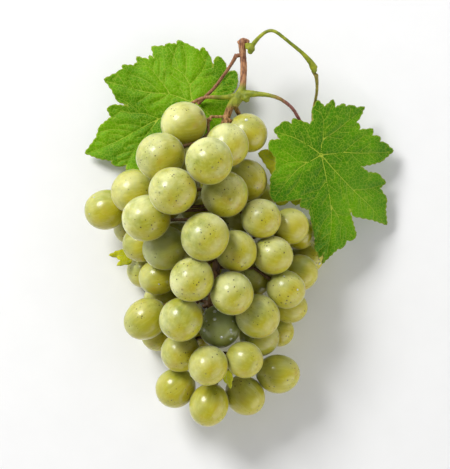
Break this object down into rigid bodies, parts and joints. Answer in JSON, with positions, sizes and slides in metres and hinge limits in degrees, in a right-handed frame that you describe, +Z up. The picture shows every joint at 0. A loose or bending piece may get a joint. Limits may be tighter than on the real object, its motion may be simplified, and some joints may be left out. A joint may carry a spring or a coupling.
{
  "type": "bunch of grapes",
  "caption": "Bunch of green table grapes lying on its back, with a brown stalk, a bent green shoot and two toothed vine leaves.",
  "frame": {"origin": "Middle of the bounding box at its bottom, on the surface that the bunch lies on.", "axes": "+X across the bunch to the side of the bent shoot, +Y along the bunch towards the cut stalk, +Z up, away from the surface."},
  "size_m": [0.1476, 0.1836, 0.0744],
  "materials": {
    "berry": "Thin translucent grape skin, satin with a pale dusty bloom and small brown dots.",
    "stalk": "Brown woody bark that turns green at the joint and on the berry stems.",
    "shoot": "Smooth green shoot with a satin skin.",
    "leaf_stalk": "Smooth reddish brown leaf stalk.",
    "leaf": "Fresh green leaf blade, matt to satin, with pale yellow veins.",
    "young_leaf": "Yellow-green young leaf, matt, browned at its edges."
  },
  "bodies": {
    "root": {"stalk": "stalk", "shoot": "shoot", "right_leaf_stalk": "shoot", "left_leaf_stalk": "leaf_stalk", "left_leaf": "leaf", "right_leaf": "leaf", "tucked_leaf": "young_leaf", "side_leaflet": "young_leaf", "tip_bract": "young_leaf", "berry_01": "berry", "berry_02": "berry", "berry_03": "berry", "berry_04": "berry", "berry_05": "berry", "berry_06": "berry", "berry_07": "berry", "berry_08": "berry", "berry_09": "berry", "berry_10": "berry", "berry_11": "berry", "berry_12": "berry", "berry_13": "berry", "berry_14": "berry", "berry_15": "berry", "berry_16": "berry", "berry_17": "berry", "berry_18": "berry", "berry_19": "berry", "berry_20": "berry", "berry_21": "berry", "berry_22": "berry", "berry_23": "berry", "berry_24": "berry", "berry_25": "berry", "berry_26": "berry", "berry_27": "berry", "berry_28": "berry", "berry_29": "berry", "berry_30": "berry", "berry_31": "berry", "berry_32": "berry", "berry_33": "berry", "berry_34": "berry", "berry_35": "berry", "berry_36": "berry", "berry_37": "berry", "berry_38": "berry", "berry_39": "berry", "berry_40": "berry", "berry_41": "berry", "berry_42": "berry", "berry_43": "berry", "berry_44": "berry", "berry_45": "berry", "berry_46": "berry", "berry_47": "berry", "berry_48": "berry", "back_cluster_1": "berry", "back_cluster_2": "berry", "back_cluster_3": "berry"}
  },
  "joints": []
}
